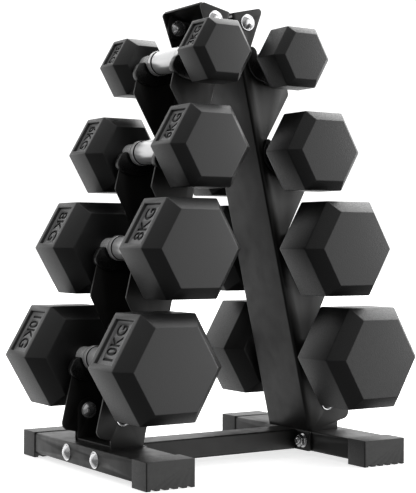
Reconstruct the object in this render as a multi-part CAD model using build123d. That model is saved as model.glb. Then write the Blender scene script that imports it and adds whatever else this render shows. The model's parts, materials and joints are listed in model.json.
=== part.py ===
from build123d import *

import os
from math import cos, radians, sin, sqrt, tan

# A-frame dumbbell rack with four pairs of hexagonal dumbbells.
# Millimetres. +X to the right-hand upright, +Y to the rear, +Z up.
# The origin is on the floor, under the centre of the rack.

# ---- uprights: two bent-sheet channels that lean on each other ----
LEAN_DEG = 13.0            # lean of each upright from vertical
SHEET = 2.5                # sheet thickness of uprights, connector and brackets
CHANNEL_WIDTH = 90.0       # across the outside of the two flanges, along Y
BEND_RADIUS = 4.0          # outside radius of the sheet's bends
APEX_HEIGHT = 546.5        # height of the valley between the two uprights
APEX_HALF_GAP = 1.2        # from the centre plane to each web at the valley
TOP_REACH = 46.5           # web's outer face to the outer corner of the top edge
TOP_CORNER_RADIUS = 4.5
TOOTH_RADIUS = 5.0         # rounding of each hook's lower corner
BOTTOM_TOOTH_RADIUS = 9.0
TAB_RADIUS = 1.0           # rounding of the inner corner above the tab
HOOK_REACH = 20.5          # handle axis to the hook's outer edge, across the upright
FOOT_TAB_REACH = 43.0      # web's outer face to the outer edge of the tab on the foot
FOOT_TAB_DROP = 10.0       # height of the tab below the lowest hook

# one row a level, from the top: along the upright, and out from the web's outer face
SADDLE_DROP = [68.0, 182.5, 303.0, 439.5]
SADDLE_OFFSET = [40.5, 39.0, 42.5, 45.0]
HOOK_LENGTH = [43.0, 50.0, 64.0]      # handle axis down to the hook's lower corner

# ---- saddle liners, clipped over the flange's edge ----
LINER_WIDTH = 9.0
LINER_GRIP = 4.0           # depth of the flange's edge inside the liner
LINER_CLEARANCE = 0.4      # between the handle's neck and the cradle

# ---- feet and cross tube ----
TUBE_WALL = 2.0
FOOT_WIDTH = 60.0
FOOT_HEIGHT = 25.0
FOOT_LENGTH = 302.0
FOOT_CLEAR = 5.5           # floor to the underside of the tubes
TUBE_CORNER = 2.5
CROSS_WIDTH = 40.0
END_PLATE_LENGTH = 97.0
END_PLATE_THICKNESS = 3.0
END_PLATE_CORNER = 3.0
CAP_SIDE = 1.0             # how far an end cap stands proud of its tube
CAP_SLEEVE = 29.0          # how far the cap reaches along the tube
CAP_END = 4.0
CAP_GROOVES = 5
CAP_GROOVE_PITCH = 11.5
CAP_GROOVE_WIDTH = 6.0
CAP_GROOVE_DEPTH = 2.5
CAP_GROOVE_SLOPE = 65.0    # degrees, of a groove's sides
CAP_CORNER = 1.5           # rounding of the upright edges
CAP_TOP_ROUND = 0.8

# ---- foot brackets and top connector ----
BRACKET_OFFSET = 28.0      # web's outer face at the foot to the bracket's centre
BRACKET_WIDTH = 30.0
BRACKET_BEND = 2.0         # outside radius of the bracket's two bends
SAME_PLACE = 0.01          # two places closer than this are the same
LEG_BOLT_HEIGHT = 65.5
TOP_BOLT_REACH = 19.5      # web's outer face to the top bolts
TOP_BOLT_DROP = 14.5       # top edge to the top bolts
CONNECTOR_REACH = 34.5     # web's outer face to the connector ears' outer edge
EAR_INSET = 1.5            # gap between the web and a connector ear

# ---- fasteners ----
BOLT_RADIUS = 4.0
HOLE_RADIUS = 4.5
BOLT_HEAD_RADIUS = 10.0
BOLT_HEAD_HEIGHT = 5.4
BOLT_HEAD_RIM = 1.0
NUT_FLATS = 13.0
NUT_HEIGHT = 8.0
NUT_FLANGE_RADIUS = 8.8
NUT_FLANGE_HEIGHT = 1.6
NUT_BORE = 4.1
THREAD_END = 3.0
FOOT_BOLT_SPACING = 70.0

# ---- dumbbells: one row a level, from the top ----
HEAD_FLATS = [71.0, 93.5, 113.5, 122.0]     # across the rim's flat sides
HEAD_RIM = [34.0, 43.0, 50.0, 55.5]           # length of the flat sides
OUTER_BEVEL = [10.0, 13.0, 18.0, 18.0]
END_FLATS = [54.0, 71.5, 87.0, 93.5]
INNER_BEVEL = [17.5, 20.5, 23.0, 22.0]
INNER_FLATS = [50.0, 68.5, 85.0, 91.0]
HEAD_CLEAR = 15.0          # flange's outer face to a head's inner face
RING_CLEAR = 7.0           # flange's outer face to the ring's outer face
NECK_RADIUS = 12.5
RING_RISE = 3.0            # the next four are measured outward from the neck
GRIP_MIDDLE_RISE = 2.6
GRIP_END_RISE = 1.9
GROOVE_RISE = 1.1
RING_LENGTH = 9.5
RING_ROUND = 2.0
GROOVE_LENGTH = 1.0
SPIGOT_SHOULDER = 2.0      # the neck's radius less the spigot's
SPIGOT_LENGTH = [20.0, 26.0, 34.0, 38.0]
LABEL_DEPTH = 3.2          # recessed panel for the weight on one upper rim side
LABEL_MARGIN = 0.14        # border round the panel, as a part of the rim's length

lean = radians(LEAN_DEG)
half_channel = CHANNEL_WIDTH / 2
inner_half = half_channel - SHEET
foot_top = FOOT_CLEAR + FOOT_HEIGHT
web_foot_x = APEX_HALF_GAP + (APEX_HEIGHT - foot_top) * tan(lean)
foot_x = web_foot_x + FOOT_WIDTH / 2
bracket_x = web_foot_x + BRACKET_OFFSET
handle_length = CHANNEL_WIDTH + 2 * HEAD_CLEAR
ring_outer = half_channel - RING_CLEAR
ring_radius = NECK_RADIUS + RING_RISE
grip_middle_radius = NECK_RADIUS + GRIP_MIDDLE_RISE
grip_end_radius = NECK_RADIUS + GRIP_END_RISE
groove_radius = NECK_RADIUS + GROOVE_RISE
spigot_radius = NECK_RADIUS - SPIGOT_SHOULDER


def leg_xz(out, down):
    """Right upright: a point out from the web's outer face and down along the web."""
    x = APEX_HALF_GAP + out * cos(lean) + down * sin(lean)
    z = APEX_HEIGHT + out * sin(lean) - down * cos(lean)
    return (x, z)


def down_at_height(out, z):
    """Distance down the upright of the point at height z and out from the web."""
    return (APEX_HEIGHT + out * sin(lean) - z) / cos(lean)


def out_at(x, z):
    """Distance out from the web's outer face of a point in the leg's plane."""
    return (x - APEX_HALF_GAP) * cos(lean) + (z - APEX_HEIGHT) * sin(lean)


def saddle_xz(level, u=0.0, w=0.0):
    """Point beside the handle's axis: u outward from the web, w up along the upright."""
    return leg_xz(SADDLE_OFFSET[level] + u, SADDLE_DROP[level] - w)


def profile(edges):
    """Face in the XZ plane from a closed run of edges."""
    return Plane.XZ * make_face(edges)


def slab(face, y_low, y_high):
    """Extrude a face of the XZ plane between two positions along Y."""
    return Pos(0, y_high, 0) * extrude(face, amount=y_high - y_low)


def left_of(shape):
    """Mirror a piece to the other side of the rack."""
    return mirror(shape, about=Plane.YZ)


def rear_of(shape):
    """Mirror a front piece to the rear."""
    return mirror(shape, about=Plane.XZ)


# ---- saddle outline, shared by the flange and its liner ----
OUTER_HORN = (HOOK_REACH, -26.0)
FLOOR_LOW = (3.0, -29.0)
FLOOR_HIGH = (-17.0, -20.5)
BACK_MIDDLE = (-33.0, 2.5)
INNER_TIP = (-22.2, 24.4)
SADDLE_CENTRE = (-6.0, 0.0)
SADDLE_SIZE = 27.0         # mean distance of the outline from its centre

# ---- liner outline: inner finger, cradle between two angles, outer nose ----
FINGER_BULGE = (-18.3, 21.0)
FINGER = (-16.8, 14.5)
FINGER_FOOT = (-16.2, 8.5)
CRADLE_BACK = 195.0
CRADLE_LOW = 258.0
CRADLE_FRONT = -38.0
LIP_RISE = (4.4, 5.65)
NOSE_TOP = (19.4, -3.4)
NOSE = (24.3, -11.5)
NOSE_LOW = (25.4, -19.0)


def gripped(point):
    """The same outline point on the flange's edge, inside the liner."""
    k = 1 - LINER_GRIP / SADDLE_SIZE
    u = SADDLE_CENTRE[0] + (point[0] - SADDLE_CENTRE[0]) * k
    w = SADDLE_CENTRE[1] + (point[1] - SADDLE_CENTRE[1]) * k
    return (u, w)


def run_of_points(points, corner_radii):
    """Polyline through points, each inner corner rounded by its own radius (0 for sharp)."""
    edges = []
    start = Vector(*points[0])
    for here, after, radius in zip(points[1:-1], points[2:], corner_radii):
        corner = Vector(*here)
        to_last = (start - corner).normalized()
        to_next = (Vector(*after) - corner).normalized()
        half_angle = to_last.get_angle(to_next) / 2
        setback = radius / tan(radians(half_angle)) if radius else 0.0
        first = corner + to_last * setback
        second = corner + to_next * setback
        edges.append(Line(start, first))
        if radius:
            inward = (to_last + to_next).normalized()
            reach = radius / sin(radians(half_angle)) - radius
            edges.append(ThreePointArc(first, corner + inward * reach, second))
        start = second
    edges.append(Line(start, Vector(*points[-1])))
    return edges


def upright():
    """Right-hand upright: a channel whose two flanges carry four hooks each."""
    edges = []
    start = leg_xz(0, 0)
    corners = [start, leg_xz(TOP_REACH, 0)]
    radii = [TOP_CORNER_RADIUS]
    for level in range(len(SADDLE_DROP)):
        corners.append(saddle_xz(level, *INNER_TIP))
        edges += run_of_points(corners, radii)
        grip_tip = saddle_xz(level, *gripped(INNER_TIP))
        grip_back = saddle_xz(level, *gripped(BACK_MIDDLE))
        grip_high = saddle_xz(level, *gripped(FLOOR_HIGH))
        grip_low = saddle_xz(level, *gripped(FLOOR_LOW))
        grip_horn = saddle_xz(level, *gripped(OUTER_HORN))
        edges.append(Line(corners[-1], grip_tip))
        edges.append(ThreePointArc(grip_tip, grip_back, grip_high))
        edges.append(ThreePointArc(grip_high, grip_low, grip_horn))
        horn = saddle_xz(level, *OUTER_HORN)
        edges.append(Line(grip_horn, horn))
        if level < len(HOOK_LENGTH):
            corners = [horn, saddle_xz(level, HOOK_REACH, -HOOK_LENGTH[level])]
            radii = [TOOTH_RADIUS]
    tab_x = leg_xz(FOOT_TAB_REACH, down_at_height(FOOT_TAB_REACH, foot_top))[0]
    tab_out = out_at(tab_x, foot_top + FOOT_TAB_DROP)
    tooth_down = down_at_height(tab_out, foot_top + FOOT_TAB_DROP)
    hook_out = SADDLE_OFFSET[-1] + HOOK_REACH
    corners = [
        horn,
        leg_xz(hook_out, tooth_down),
        (tab_x, foot_top + FOOT_TAB_DROP),
        (tab_x, foot_top),
    ]
    edges += run_of_points(corners, [BOTTOM_TOOTH_RADIUS, TAB_RADIUS])
    edges.append(Line((tab_x, foot_top), (web_foot_x, foot_top)))
    edges.append(Line((web_foot_x, foot_top), start))
    outline = slab(profile(edges), -half_channel, half_channel)

    # the bent channel, much longer than the upright, cut to the outline
    depth = 2 * HOOK_REACH + max(SADDLE_OFFSET)
    length = 2 * APEX_HEIGHT
    outside = Pos(depth / 2, 0, 0) * Rectangle(depth, CHANNEL_WIDTH)
    outside = fillet(outside.vertices().group_by(Axis.X)[0], BEND_RADIUS)
    inside = Pos(SHEET + depth / 2, 0, 0) * Rectangle(depth, 2 * inner_half)
    inside = fillet(inside.vertices().group_by(Axis.X)[0], BEND_RADIUS - SHEET)
    channel = extrude(outside - inside, amount=length / 2, both=True)
    channel = Pos(APEX_HALF_GAP, 0, APEX_HEIGHT) * Rot(0, -LEAN_DEG, 0) * channel
    leg = channel & outline

    # the web stops below the connector's roof
    roof_room = extrude(Rectangle(2 * depth, 2 * inner_half), amount=2 * SHEET, both=True)
    leg -= Pos(APEX_HALF_GAP, 0, APEX_HEIGHT) * Rot(0, -LEAN_DEG, 0) * roof_room
    top_x, top_z = leg_xz(TOP_BOLT_REACH, TOP_BOLT_DROP)
    for x, z in ((top_x, top_z), (bracket_x, LEG_BOLT_HEIGHT)):
        leg -= Pos(x, 0, z) * Rot(90, 0, 0) * Cylinder(HOLE_RADIUS, 2 * CHANNEL_WIDTH)
    return leg


def liner(level):
    """Right-hand front liner of one saddle: a moulded edge trim with a cradle."""
    cradle = NECK_RADIUS + LINER_CLEARANCE

    def on_cradle(angle):
        return saddle_xz(level, cradle * cos(radians(angle)), cradle * sin(radians(angle)))

    tip = saddle_xz(level, *INNER_TIP)
    horn = saddle_xz(level, *OUTER_HORN)
    floor_low = saddle_xz(level, *FLOOR_LOW)
    floor_high = saddle_xz(level, *FLOOR_HIGH)
    back = saddle_xz(level, *BACK_MIDDLE)
    finger_bulge = saddle_xz(level, *FINGER_BULGE)
    finger = saddle_xz(level, *FINGER)
    finger_foot = saddle_xz(level, *FINGER_FOOT)
    cradle_back = on_cradle(CRADLE_BACK)
    cradle_front = on_cradle(CRADLE_FRONT)
    lip_u = cradle * cos(radians(CRADLE_FRONT)) + LIP_RISE[0]
    lip_w = cradle * sin(radians(CRADLE_FRONT)) + LIP_RISE[1]
    lip = saddle_xz(level, lip_u, lip_w)
    nose_top = saddle_xz(level, *NOSE_TOP)
    nose = saddle_xz(level, *NOSE)
    nose_low = saddle_xz(level, *NOSE_LOW)
    edges = [
        ThreePointArc(tip, finger_bulge, finger),
        Line(finger, finger_foot),
        Line(finger_foot, cradle_back),
        ThreePointArc(cradle_back, on_cradle(CRADLE_LOW), cradle_front),
        Line(cradle_front, lip),
        ThreePointArc(lip, nose_top, nose),
        ThreePointArc(nose, nose_low, horn),
        ThreePointArc(horn, floor_low, floor_high),
        ThreePointArc(floor_high, back, tip),
    ]
    middle = -half_channel + SHEET / 2
    return slab(profile(edges), middle - LINER_WIDTH / 2, middle + LINER_WIDTH / 2)


def connector():
    """Bent plate that ties the two uprights: a shallow V roof with four ears."""
    valley_z = APEX_HEIGHT - APEX_HALF_GAP * tan(lean)
    under_z = valley_z - SHEET / cos(lean)
    roof_end = leg_xz(TOP_REACH - TOP_CORNER_RADIUS, 0)
    under_end = leg_xz(TOP_REACH - TOP_CORNER_RADIUS, SHEET)
    roof_edges = [
        Line((0, valley_z), roof_end),
        Line(roof_end, under_end),
        Line(under_end, (0, under_z)),
        Line((0, under_z), (0, valley_z)),
    ]
    roof = slab(profile(roof_edges), -inner_half, inner_half)

    ear_low = SHEET + EAR_INSET
    ear_width = CONNECTOR_REACH - ear_low
    lobe = ear_width / 2
    middle = ear_low + lobe
    ear_edges = [
        Line(leg_xz(ear_low, SHEET / 2), leg_xz(CONNECTOR_REACH, SHEET / 2)),
        Line(leg_xz(CONNECTOR_REACH, SHEET / 2), leg_xz(CONNECTOR_REACH, TOP_BOLT_DROP)),
        ThreePointArc(
            leg_xz(CONNECTOR_REACH, TOP_BOLT_DROP),
            leg_xz(middle, TOP_BOLT_DROP + lobe),
            leg_xz(ear_low, TOP_BOLT_DROP),
        ),
        Line(leg_xz(ear_low, TOP_BOLT_DROP), leg_xz(ear_low, SHEET / 2)),
    ]
    ear = slab(profile(ear_edges), -inner_half, -inner_half + SHEET)
    bolt_x, bolt_z = leg_xz(TOP_BOLT_REACH, TOP_BOLT_DROP)
    ear -= Pos(bolt_x, 0, bolt_z) * Rot(90, 0, 0) * Cylinder(HOLE_RADIUS, 2 * CHANNEL_WIDTH)
    half = roof + ear + rear_of(ear)
    return half + left_of(half)


def foot_bracket():
    """Right-hand U bracket welded on the foot; its ears bolt inside the flanges."""
    half_width = BRACKET_WIDTH / 2
    base = Pos(bracket_x, 0, foot_top + SHEET / 2) * Box(BRACKET_WIDTH, 2 * inner_half, SHEET)
    low = bracket_x - half_width
    high = bracket_x + half_width
    crown = (bracket_x, LEG_BOLT_HEIGHT + half_width)
    ear_edges = [
        Line((low, foot_top), (high, foot_top)),
        Line((high, foot_top), (high, LEG_BOLT_HEIGHT)),
        ThreePointArc((high, LEG_BOLT_HEIGHT), crown, (low, LEG_BOLT_HEIGHT)),
        Line((low, LEG_BOLT_HEIGHT), (low, foot_top)),
    ]
    ear = slab(profile(ear_edges), -inner_half, -inner_half + SHEET)
    ear -= Pos(bracket_x, 0, LEG_BOLT_HEIGHT) * Rot(90, 0, 0) * Cylinder(HOLE_RADIUS, 2 * CHANNEL_WIDTH)
    bracket = base + ear + rear_of(ear)
    low_edges = bracket.edges().filter_by(Axis.X).group_by(Axis.Z)[0]
    corners = [edge for edge in low_edges if abs(abs(edge.center().Y) - inner_half) < SAME_PLACE]
    return fillet(corners, BRACKET_BEND)


def rounded_bar(width, height, length, corner, axis):
    """Bar with rounded long edges along Y or X, centred on the origin."""
    section = RectangleRounded(width, height, corner)
    bar = extrude(section, amount=length / 2, both=True)
    return (Plane.XZ if axis == "Y" else Plane.YZ) * bar


def foot_tube():
    """Right-hand foot: a rectangular tube along Y with four bolt holes."""
    middle = Pos(foot_x, 0, FOOT_CLEAR + FOOT_HEIGHT / 2)
    outside = rounded_bar(FOOT_WIDTH, FOOT_HEIGHT, FOOT_LENGTH, TUBE_CORNER, "Y")
    room_width = FOOT_WIDTH - 2 * TUBE_WALL
    room_height = FOOT_HEIGHT - 2 * TUBE_WALL
    inside = rounded_bar(room_width, room_height, 2 * FOOT_LENGTH, TUBE_CORNER - TUBE_WALL, "Y")
    tube = outside - inside
    for y in (-FOOT_BOLT_SPACING / 2, FOOT_BOLT_SPACING / 2):
        tube -= Pos(0, y, 0) * Rot(0, 90, 0) * Cylinder(HOLE_RADIUS, 2 * FOOT_WIDTH)
    return middle * tube


def end_cap():
    """Right-hand front end cap: a sleeve over the tube with a ribbed sole."""
    width = FOOT_WIDTH + 2 * CAP_SIDE
    height = foot_top + CAP_SIDE
    length = CAP_SLEEVE + CAP_END
    end_y = -(FOOT_LENGTH / 2 + CAP_END)
    body = Pos(foot_x, end_y + length / 2, height / 2) * Box(width, length, height)
    body = fillet(body.edges().filter_by(Axis.Z), CAP_CORNER)
    body = fillet(body.edges().group_by(Axis.Z)[-1], CAP_TOP_ROUND)
    tube = Pos(foot_x, 0, FOOT_CLEAR + FOOT_HEIGHT / 2)
    body -= tube * rounded_bar(FOOT_WIDTH, FOOT_HEIGHT, FOOT_LENGTH, TUBE_CORNER, "Y")
    section = Trapezoid(
        CAP_GROOVE_WIDTH, CAP_GROOVE_DEPTH, CAP_GROOVE_SLOPE, align=(Align.CENTER, Align.MIN)
    )
    groove = slab(Plane.XZ * section, end_y - length, end_y + 2 * length)
    for n in range(CAP_GROOVES):
        x = foot_x + (n - (CAP_GROOVES - 1) / 2) * CAP_GROOVE_PITCH
        body -= Pos(x, 0, 0) * groove
    return body


def cross_tube():
    """Rectangular tube along X between the two end plates."""
    length = 2 * (web_foot_x - END_PLATE_THICKNESS)
    outside = rounded_bar(CROSS_WIDTH, FOOT_HEIGHT, length, TUBE_CORNER, "X")
    room_width = CROSS_WIDTH - 2 * TUBE_WALL
    room_height = FOOT_HEIGHT - 2 * TUBE_WALL
    inside = rounded_bar(room_width, room_height, 2 * length, TUBE_CORNER - TUBE_WALL, "X")
    return Pos(0, 0, FOOT_CLEAR + FOOT_HEIGHT / 2) * (outside - inside)


def end_plate():
    """Right-hand end plate of the cross tube, bolted to the foot."""
    x = web_foot_x - END_PLATE_THICKNESS / 2
    plate = Box(END_PLATE_THICKNESS, END_PLATE_LENGTH, FOOT_HEIGHT)
    plate = fillet(plate.edges().filter_by(Axis.X), END_PLATE_CORNER)
    for y in (-FOOT_BOLT_SPACING / 2, FOOT_BOLT_SPACING / 2):
        plate -= Pos(0, y, 0) * Rot(0, 90, 0) * Cylinder(HOLE_RADIUS, 2 * FOOT_WIDTH)
    return Pos(x, 0, FOOT_CLEAR + FOOT_HEIGHT / 2) * plate


def bolt(shank):
    """Mushroom-head bolt along +Z: head below the origin, shank above it."""
    rise = BOLT_HEAD_HEIGHT - BOLT_HEAD_RIM
    dome = (BOLT_HEAD_RADIUS**2 + rise**2) / (2 * rise)
    head = extrude(Circle(BOLT_HEAD_RADIUS), amount=-BOLT_HEAD_HEIGHT)
    head &= Pos(0, 0, dome - BOLT_HEAD_HEIGHT) * Sphere(dome)
    return head + extrude(Circle(BOLT_RADIUS), amount=shank)


def nut():
    """Flanged hex nut along +Z, seated on the origin."""
    hexagon = RegularPolygon(NUT_FLATS / 2, 6, major_radius=False)
    body = extrude(hexagon, amount=NUT_HEIGHT)
    body += extrude(Circle(NUT_FLANGE_RADIUS), amount=NUT_FLANGE_HEIGHT)
    return body - extrude(Circle(NUT_BORE), amount=NUT_HEIGHT)


def hexagon_face(flats, y):
    """Hexagon with flats up and down, in the XZ plane at one position along Y."""
    across = Plane(origin=(0, y, 0), x_dir=(1, 0, 0), z_dir=(0, -1, 0))
    return across * RegularPolygon(flats / 2, 6, major_radius=False)


def head_solid(level):
    """Front head about the handle's axis: rim, two bevels, blind seat and label panel."""
    near = -handle_length / 2
    rim_near = near - INNER_BEVEL[level]
    rim_far = rim_near - HEAD_RIM[level]
    far = rim_far - OUTER_BEVEL[level]
    stations = [
        (near, INNER_FLATS[level]),
        (rim_near, HEAD_FLATS[level]),
        (rim_far, HEAD_FLATS[level]),
        (far, END_FLATS[level]),
    ]
    head = loft([hexagon_face(flats, y) for y, flats in stations], ruled=True)
    return head - spigot_room(level) - label_room(level)


def label_room(level):
    """Shallow box cut into the upper rim side that faces left, for the weight's figures."""
    rim = HEAD_RIM[level]
    margin = LABEL_MARGIN * rim
    side = HEAD_FLATS[level] / sqrt(3)
    middle = -handle_length / 2 - INNER_BEVEL[level] - rim / 2
    room = Box(side - 2 * margin, rim - 2 * margin, 2 * LABEL_DEPTH)
    return Pos(0, middle, 0) * Rot(0, -60, 0) * Pos(0, 0, HEAD_FLATS[level] / 2) * room


def spigot_room(level):
    """Blind seat for the handle's spigot in the front head."""
    low = -handle_length / 2 - SPIGOT_LENGTH[level]
    return Pos(0, low / 2, 0) * Rot(90, 0, 0) * Cylinder(spigot_radius, -low)


def handle_solid(level):
    """Chromed handle along Y, turned from bar: grip, two rings, necks and spigots."""
    ring_inner = ring_outer - RING_LENGTH
    grip_end = ring_inner - GROOVE_LENGTH
    neck_end = handle_length / 2
    end = neck_end + SPIGOT_LENGTH[level]
    ring_shoulder = ring_radius - RING_ROUND
    bend = RING_ROUND * (1 - sqrt(0.5))
    half = [
        Line((grip_end_radius, grip_end), (groove_radius, grip_end)),
        Line((groove_radius, grip_end), (groove_radius, ring_inner)),
        Line((groove_radius, ring_inner), (ring_radius, ring_inner)),
        Line((ring_radius, ring_inner), (ring_radius, ring_outer - RING_ROUND)),
        ThreePointArc(
            (ring_radius, ring_outer - RING_ROUND),
            (ring_radius - bend, ring_outer - bend),
            (ring_shoulder, ring_outer),
        ),
        Line((ring_shoulder, ring_outer), (NECK_RADIUS, ring_outer)),
        Line((NECK_RADIUS, ring_outer), (NECK_RADIUS, neck_end)),
        Line((NECK_RADIUS, neck_end), (spigot_radius, neck_end)),
        Line((spigot_radius, neck_end), (spigot_radius, end)),
        Line((spigot_radius, end), (0, end)),
    ]
    upper = Curve() + half
    lower = mirror(upper, about=Plane.XZ)
    near = (grip_end_radius, -grip_end)
    far = (grip_end_radius, grip_end)
    grip = ThreePointArc(near, (grip_middle_radius, 0), far)
    face = make_face(upper.edges() + lower.edges() + [grip, Line((0, -end), (0, end))])
    return revolve(face, axis=Axis.Y)


def dumbbell(level):
    """Pieces of one dumbbell about the middle of its handle."""
    head = head_solid(level)
    return {"handle": handle_solid(level), "front_head": head, "rear_head": rear_of(head)}


def sides(name, piece, parts):
    """Store a right-hand piece and its left-hand mirror."""
    parts["right_" + name] = piece
    parts["left_" + name] = left_of(piece)


def build():
    """All nodes of the rack and its dumbbells, by name."""
    parts = {}
    leg = upright()
    sides("upright", leg, parts)
    parts["top_connector"] = connector()
    sides("foot_tube", foot_tube(), parts)
    cap = end_cap()
    sides("front_end_cap", cap, parts)
    sides("rear_end_cap", rear_of(cap), parts)
    parts["cross_tube"] = cross_tube()
    sides("cross_tube_end_plate", end_plate(), parts)
    sides("foot_bracket", foot_bracket(), parts)

    liners = [liner(level) - leg for level in range(len(SADDLE_DROP))]
    sides("front_saddle_liners", Compound(children=liners), parts)
    sides("rear_saddle_liners", Compound(children=[rear_of(one) for one in liners]), parts)

    top_x, top_z = leg_xz(TOP_BOLT_REACH, TOP_BOLT_DROP)
    grip = 2 * SHEET
    leg_bolt = bolt(grip + NUT_HEIGHT + THREAD_END)
    for name, x, z in (("connector", top_x, top_z), ("leg", bracket_x, LEG_BOLT_HEIGHT)):
        bolts, nuts = [], []
        for side in (-1, 1):
            for head_y in (-half_channel, inner_half - SHEET):
                bolts.append(Pos(side * x, head_y, z) * Rot(-90, 0, 0) * leg_bolt)
                nuts.append(Pos(side * x, head_y + grip, z) * Rot(-90, 0, 0) * nut())
        parts[name + "_bolts"] = Compound(children=bolts)
        parts[name + "_nuts"] = Compound(children=nuts)

    foot_grip = FOOT_WIDTH + END_PLATE_THICKNESS
    foot_bolt = bolt(foot_grip + NUT_HEIGHT + THREAD_END)
    bolts, nuts = [], []
    for y in (-FOOT_BOLT_SPACING / 2, FOOT_BOLT_SPACING / 2):
        seat = Pos(foot_x + FOOT_WIDTH / 2, y, FOOT_CLEAR + FOOT_HEIGHT / 2) * Rot(0, -90, 0)
        bolts.append(seat * foot_bolt)
        nuts.append(seat * Pos(0, 0, foot_grip) * nut())
    parts["foot_bolts"] = Compound(children=bolts + [left_of(one) for one in bolts])
    parts["foot_nuts"] = Compound(children=nuts + [left_of(one) for one in nuts])

    for level in range(len(SADDLE_DROP)):
        x, z = saddle_xz(level)
        for name, piece in dumbbell(level).items():
            left = Pos(-x, 0, z) * piece
            parts[f"left_dumbbell_{level + 1}_{name}"] = left
            parts[f"right_dumbbell_{level + 1}_{name}"] = left_of(left)
    return parts


os.makedirs("parts", exist_ok=True)
for node, shape in build().items():
    export_step(shape, f"parts/{node}.step")
for level in range(len(SADDLE_DROP)):
    x, z = saddle_xz(level)
    print(f"saddle {level + 1}: x {x:.1f} z {z:.1f}")
print(f"foot centre x {foot_x:.1f}, bracket x {bracket_x:.1f}")
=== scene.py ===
import json
import logging
import math
from collections.abc import Callable
from dataclasses import dataclass, field
from enum import Enum

import bmesh
import bpy
from mathutils import Matrix, Vector

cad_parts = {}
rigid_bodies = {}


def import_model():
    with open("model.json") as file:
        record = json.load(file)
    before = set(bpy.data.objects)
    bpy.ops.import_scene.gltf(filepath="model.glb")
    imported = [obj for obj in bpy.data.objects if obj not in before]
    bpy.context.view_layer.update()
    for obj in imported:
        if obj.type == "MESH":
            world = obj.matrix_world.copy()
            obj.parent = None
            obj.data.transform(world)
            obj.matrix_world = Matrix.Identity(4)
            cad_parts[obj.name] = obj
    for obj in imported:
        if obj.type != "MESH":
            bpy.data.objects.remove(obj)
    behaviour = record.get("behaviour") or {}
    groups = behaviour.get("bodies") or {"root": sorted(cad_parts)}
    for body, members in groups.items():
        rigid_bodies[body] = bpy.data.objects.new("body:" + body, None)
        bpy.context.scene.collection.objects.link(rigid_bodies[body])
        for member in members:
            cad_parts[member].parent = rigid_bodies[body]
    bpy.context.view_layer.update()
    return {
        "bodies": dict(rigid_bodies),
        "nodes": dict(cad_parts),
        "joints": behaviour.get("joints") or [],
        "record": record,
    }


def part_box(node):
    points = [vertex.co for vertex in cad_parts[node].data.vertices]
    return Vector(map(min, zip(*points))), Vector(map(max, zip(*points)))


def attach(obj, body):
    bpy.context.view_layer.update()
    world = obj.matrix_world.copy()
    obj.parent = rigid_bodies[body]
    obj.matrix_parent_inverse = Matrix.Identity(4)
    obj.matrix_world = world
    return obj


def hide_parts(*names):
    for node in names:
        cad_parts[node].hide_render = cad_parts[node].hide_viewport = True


MM = 0.001
WHITE = (1, 1, 1, 1)

# The middle part of a noise pattern, which is spread over a finish's range.
PATTERN_LOW = 0.3
PATTERN_HIGH = 0.7

# Places of the finishes in the material list of a head, and of a handle.
# A head's second finish is painted shade in its weight marks.
SKIN, MARK_SHADE, FLOOR = range(3)
# A handle's third finish is a painted highlight on its necks.
METAL, SHADOW, NECK_HIGHLIGHT = range(3)

# Edges sharper than the first angle are rounded; those sharper than the second
# stay crisp in the shading. Both in degrees.
ROUNDED_ANGLE = 28.0
CRISP_ANGLE = 35.0

# CAD meshes: points closer than this are merged, and triangles that differ by
# less than this many degrees are made into one face.
WELD_DISTANCE = 0.002 * MM
FLAT_ANGLE = 0.6

# Section of a handle's ring from its outer edge inward, in mm: distance along
# the handle, and depth below the ring's full radius. A fine line is turned in it.
RING_SECTION = (
    (0.3, 1.6),
    (1.8, 0.2),
    (2.4, 0.0),
    (5.4, 0.0),
    (5.6, 0.25),
    (5.8, 0.0),
)

# Level from the top, weight mark, and in mm: rim, outer bevel, size across the end
# face's flats, inner bevel, and size across the inner face's flats.
HEAD_SIZES = (
    (1, "3KG", (34.0, 10.0, 54.0, 17.5, 50.0)),
    (2, "6KG", (43.0, 13.0, 71.5, 20.5, 68.5)),
    (3, "8KG", (50.0, 18.0, 87.0, 23.0, 85.0)),
    (4, "10KG", (55.5, 18.0, 93.5, 22.0, 91.0)),
)

LOG = logging.getLogger("dumbbell_rack")
Mesh = bpy.types.Object
Socket = bpy.types.NodeSocket


class Side(Enum):
    """Which upright a piece belongs to; the value is its sign along X."""

    LEFT = -1
    RIGHT = 1


class End(Enum):
    """Which end of a dumbbell or foot a piece is at; the value is its sign along Y."""

    FRONT = -1
    REAR = 1


class Grain(Enum):
    """How coarse the moulded skin of a rubber head is."""

    FINE = 1.0
    COARSE = 2.0


# ---------------------------------------------------------------- finishes


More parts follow.
